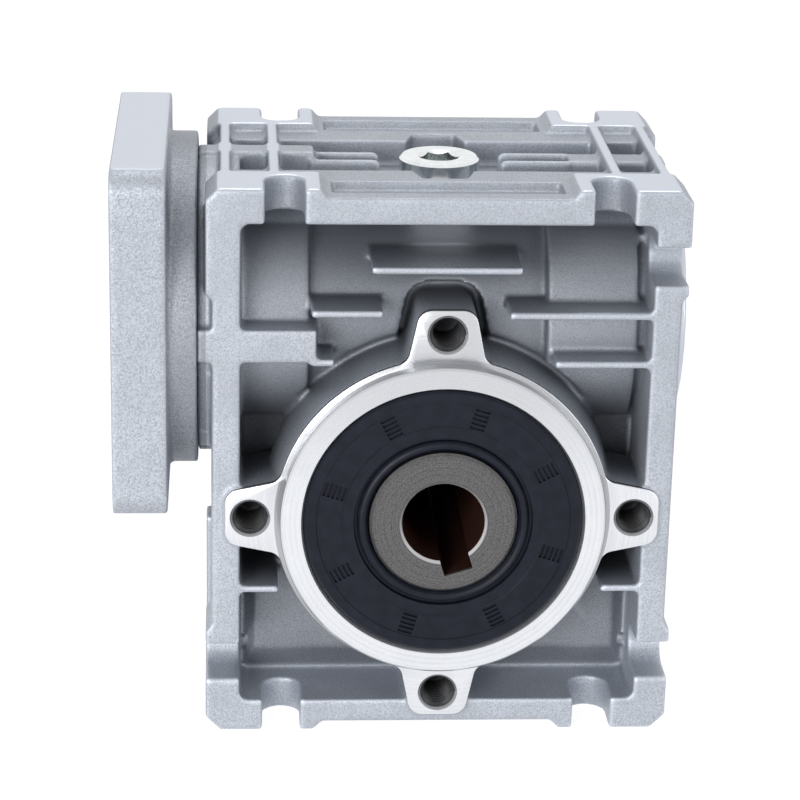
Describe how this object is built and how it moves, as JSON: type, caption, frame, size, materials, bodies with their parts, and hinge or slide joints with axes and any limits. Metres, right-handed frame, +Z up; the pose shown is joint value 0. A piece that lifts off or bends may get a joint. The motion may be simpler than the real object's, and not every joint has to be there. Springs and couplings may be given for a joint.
{
  "type": "worm gear reducer",
  "caption": "Right-angle worm gear reducer with a die-cast box, a hollow keyed output shaft and a square motor flange over a hollow worm shaft.",
  "frame": {"origin": "centre of the output bore", "axes": "+X along the worm axis, away from the motor flange; +Y along the output bore, away from the pictured face; +Z up, from the output bore to the worm"},
  "size_m": [0.0965, 0.063, 0.1],
  "materials": {
    "housing": "shot-blasted die casting, with machined pads and ring",
    "cover": "shot-blasted die casting, with a machined ring",
    "flange": "shot-blasted die casting, with machined faces",
    "hub": "turned steel",
    "worm": "case-hardened and ground steel",
    "wheel": "cast bronze with cut teeth",
    "seal": "moulded nitrile rubber",
    "spring": "bright spring wire",
    "o_ring": "moulded nitrile rubber",
    "plug": "zinc plated",
    "washer": "soft aluminium",
    "cap": "rubber over a steel shell",
    "clip": "phosphated spring steel",
    "screw": "black oxide",
    "bearing": "ground bearing steel",
    "ball": "polished bearing steel",
    "cage": "pressed steel"
  },
  "bodies": {
    "gearbox": {"housing": "housing", "output_cover": "cover", "cover_o_ring": "o_ring", "cover_screws": "screw", "input_flange": "flange", "flange_screws": "screw", "oil_plug": "plug", "plug_washer": "washer", "front_output_seal": "seal", "rear_output_seal": "seal", "front_seal_spring": "spring", "rear_seal_spring": "spring", "input_seal": "seal", "input_seal_spring": "spring", "worm_end_cap": "cap", "input_circlip": "clip", "end_circlip": "clip", "front_bearing_outer": "bearing", "rear_bearing_outer": "bearing", "input_bearing_outer": "bearing", "end_bearing_outer": "bearing"},
    "worm": {"worm_shaft": "worm", "input_bearing_inner": "bearing", "end_bearing_inner": "bearing"},
    "output": {"output_hub": "hub", "worm_wheel": "wheel", "front_bearing_inner": "bearing", "rear_bearing_inner": "bearing"},
    "input_rolling": {"input_bearing_balls": "ball", "input_bearing_cage": "cage"},
    "end_rolling": {"end_bearing_balls": "ball", "end_bearing_cage": "cage"},
    "front_rolling": {"front_bearing_balls": "ball", "front_bearing_cage": "cage"},
    "rear_rolling": {"rear_bearing_balls": "ball", "rear_bearing_cage": "cage"}
  },
  "joints": [
    {"name": "worm_spin", "type": "hinge", "parent": "gearbox", "child": "worm", "pos_m": [0, 0, 0.03], "axis": [1, 0, 0], "continuous": true},
    {"name": "output_spin", "type": "hinge", "parent": "gearbox", "child": "output", "pos_m": [0, 0, 0], "axis": [0, 1, 0], "continuous": true},
    {"name": "input_cage_spin", "type": "hinge", "parent": "gearbox", "child": "input_rolling", "pos_m": [0, 0, 0.03], "axis": [1, 0, 0], "continuous": true},
    {"name": "end_cage_spin", "type": "hinge", "parent": "gearbox", "child": "end_rolling", "pos_m": [0, 0, 0.03], "axis": [1, 0, 0], "continuous": true},
    {"name": "front_cage_spin", "type": "hinge", "parent": "gearbox", "child": "front_rolling", "pos_m": [0, 0, 0], "axis": [0, 1, 0], "continuous": true},
    {"name": "rear_cage_spin", "type": "hinge", "parent": "gearbox", "child": "rear_rolling", "pos_m": [0, 0, 0], "axis": [0, 1, 0], "continuous": true}
  ],
  "couplings": [
    {"joint": "output_spin", "follows": "worm_spin", "ratio": -0.033333},
    {"joint": "input_cage_spin", "follows": "worm_spin", "ratio": 0.41667},
    {"joint": "end_cage_spin", "follows": "worm_spin", "ratio": 0.39894},
    {"joint": "front_cage_spin", "follows": "worm_spin", "ratio": -0.013727},
    {"joint": "rear_cage_spin", "follows": "worm_spin", "ratio": -0.013727}
  ]
}
